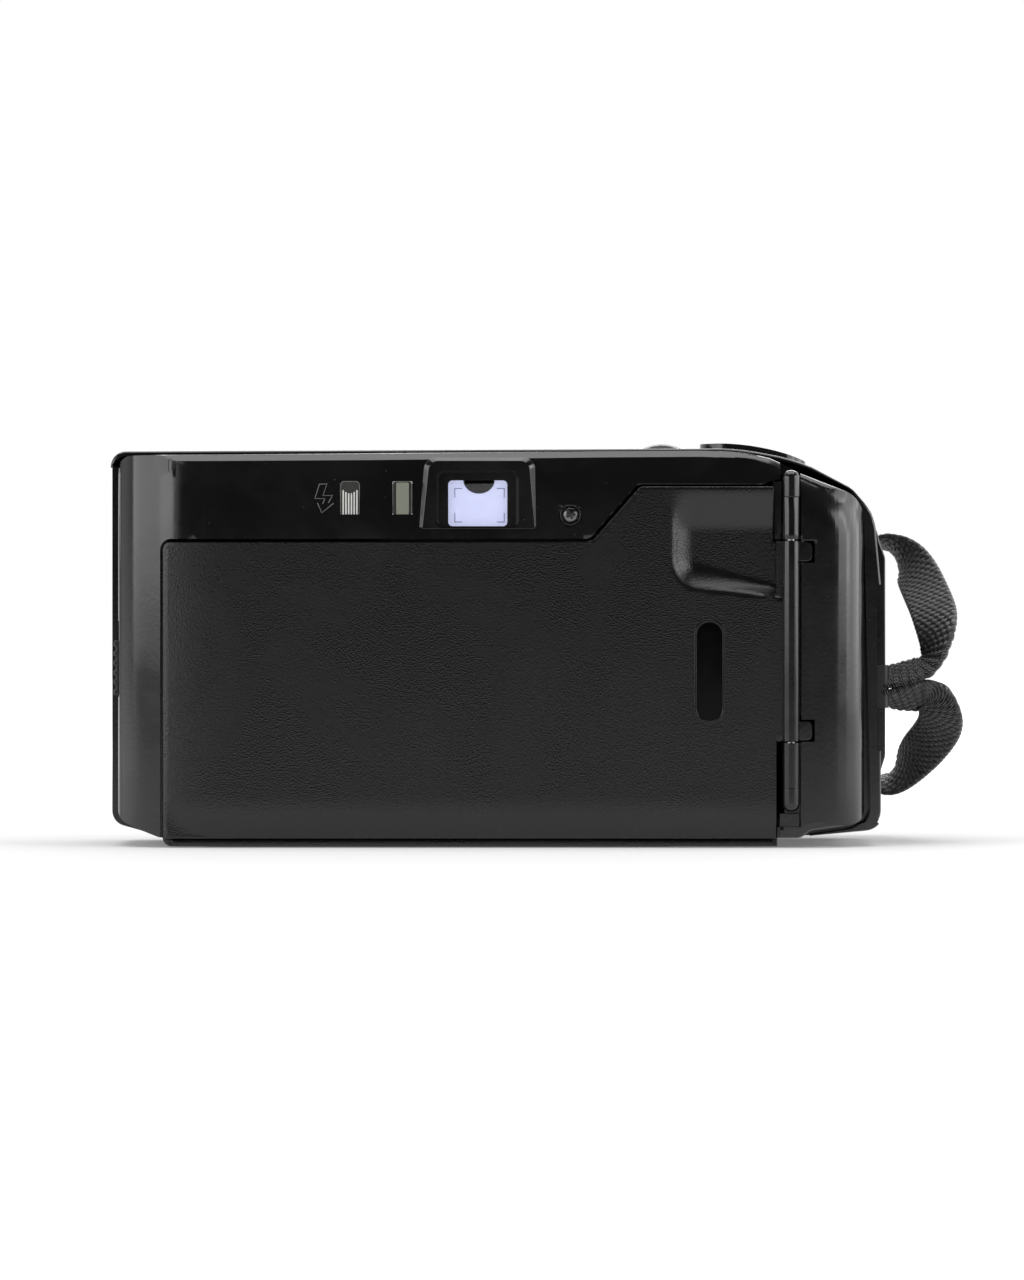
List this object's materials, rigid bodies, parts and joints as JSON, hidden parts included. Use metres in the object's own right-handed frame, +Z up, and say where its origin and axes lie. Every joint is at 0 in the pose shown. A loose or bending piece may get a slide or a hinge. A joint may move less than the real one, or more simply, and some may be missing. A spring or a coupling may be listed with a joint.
{
  "type": "compact film camera",
  "caption": "Compact 35 mm film camera with a hinged film door, working film transport, viewfinder, flash, grip, release button and a hand strap.",
  "frame": {"origin": "under the middle of the camera, on the surface that it stands on", "axes": "+X the viewer's right, +Y the way the lens points, +Z up"},
  "size_m": [0.1454, 0.0734, 0.0684],
  "materials": {
    "gloss_black": "gloss",
    "matte_black": "fine texture",
    "soft_black": "matt",
    "grey_plastic": "satin",
    "steel": "satin",
    "alloy": "satin",
    "brass": "plain",
    "glass": "clear",
    "reflector": "bright",
    "webbing": "woven",
    "foam": "foam",
    "board": "lacquered",
    "cell_wrap": "gloss"
  },
  "bodies": {
    "camera": {"rear_cover": "gloss_black", "front_cover": "gloss_black", "base_plate": "soft_black", "base_screws": "steel", "tripod_socket": "alloy", "chassis": "soft_black", "aperture_plate": "alloy", "drive_motor": "steel", "cassette_spring": "steel", "dx_contacts": "brass", "light_seal": "foam", "eyepiece_frame": "soft_black", "eyepiece_lens": "glass", "finder_tube": "soft_black", "finder_objective": "glass", "finder_mask": "soft_black", "flash_ready_lens": "glass", "focus_lamp_lens": "glass", "front_window": "glass", "rear_screw": "steel", "lens_bezel": "soft_black", "shutter_unit": "soft_black", "flash_window": "glass", "flash_reflector": "reflector", "flash_tube": "glass", "flash_capacitor": "alloy", "battery_cells": "cell_wrap", "battery_bridge": "steel", "circuit_board": "board", "counter_window": "glass", "release_switch": "soft_black", "self_timer_lamp": "glass", "strap_bar": "gloss_black", "strap_hitch": "webbing", "strap": "webbing", "hinge_pin": "steel", "hinge_caps": "gloss_black", "button_spring": "steel", "latch_spring": "steel"},
    "door": {"door_panel": "matte_black", "cassette_window": "glass", "plate_spring": "steel"},
    "plate": {"pressure_plate": "steel"},
    "spool": {"takeup_spool": "soft_black"},
    "idler": {"idler_gear": "grey_plastic"},
    "pinion": {"motor_pinion": "brass"},
    "sprocket_drum": {"sprocket": "soft_black"},
    "fork": {"rewind_fork": "soft_black"},
    "latch": {"door_latch": "soft_black"},
    "release_button": {"shutter_button": "gloss_black"},
    "counter": {"counter_dial": "grey_plastic"},
    "timer_button": {"self_timer_button": "soft_black"},
    "rewind_key": {"rewind_button": "grey_plastic"},
    "cell": {"lens_cell": "soft_black", "front_element": "glass", "rear_element": "glass"},
    "hatch": {"battery_door": "soft_black", "battery_contact": "steel"}
  },
  "joints": [
    {"name": "door_hinge", "type": "hinge", "parent": "camera", "child": "door", "pos_m": [0.0487, -0.02307, 0], "axis": [0, 0, 1], "range_deg": [0, 110]},
    {"name": "plate_float", "type": "slide", "parent": "door", "child": "plate", "axis": [0, -1, 0], "range_m": [0, 0.0003], "stiffness_N_per_m": 300},
    {"name": "spool_turn", "type": "hinge", "parent": "camera", "child": "spool", "pos_m": [-0.0392, -0.009, 0], "axis": [0, 0, 1], "continuous": true},
    {"name": "idler_turn", "type": "hinge", "parent": "camera", "child": "idler", "pos_m": [-0.05037, -0.00197, 0], "axis": [0, 0, 1], "continuous": true},
    {"name": "pinion_turn", "type": "hinge", "parent": "camera", "child": "pinion", "pos_m": [-0.0569, -0.005, 0], "axis": [0, 0, 1], "continuous": true},
    {"name": "sprocket_turn", "type": "hinge", "parent": "camera", "child": "sprocket_drum", "pos_m": [-0.0256, -0.01514, 0], "axis": [0, 0, 1], "continuous": true},
    {"name": "fork_turn", "type": "hinge", "parent": "camera", "child": "fork", "pos_m": [0.0347, -0.008, 0], "axis": [0, 0, 1], "continuous": true},
    {"name": "latch_slide", "type": "slide", "parent": "camera", "child": "latch", "axis": [0, 0, 1], "range_m": [0, 0.003], "stiffness_N_per_m": 150, "deforming": ["latch_spring"]},
    {"name": "release_press", "type": "slide", "parent": "camera", "child": "release_button", "axis": [0, 0, -1], "range_m": [0, 0.0008], "stiffness_N_per_m": 600, "deforming": ["button_spring"]},
    {"name": "counter_turn", "type": "hinge", "parent": "camera", "child": "counter", "pos_m": [0.0277, -0.0035, 0], "axis": [0, 0, 1], "range_deg": [0, 330]},
    {"name": "timer_press", "type": "slide", "parent": "camera", "child": "timer_button", "axis": [0, 0, -1], "range_m": [0, 0.0005], "stiffness_N_per_m": 400},
    {"name": "rewind_press", "type": "slide", "parent": "camera", "child": "rewind_key", "axis": [0, 0, 1], "range_m": [0, 0.0006], "stiffness_N_per_m": 400},
    {"name": "lens_focus", "type": "slide", "parent": "camera", "child": "cell", "axis": [0, 1, 0], "range_m": [0, 0.001]},
    {"name": "hatch_hinge", "type": "hinge", "parent": "camera", "child": "hatch", "pos_m": [0.0339, 0, 0.0015], "axis": [0, 1, 0], "range_deg": [0, 95]}
  ],
  "couplings": [
    {"joint": "idler_turn", "follows": "spool_turn", "ratio": -2.1429},
    {"joint": "pinion_turn", "follows": "spool_turn", "ratio": 3}
  ]
}
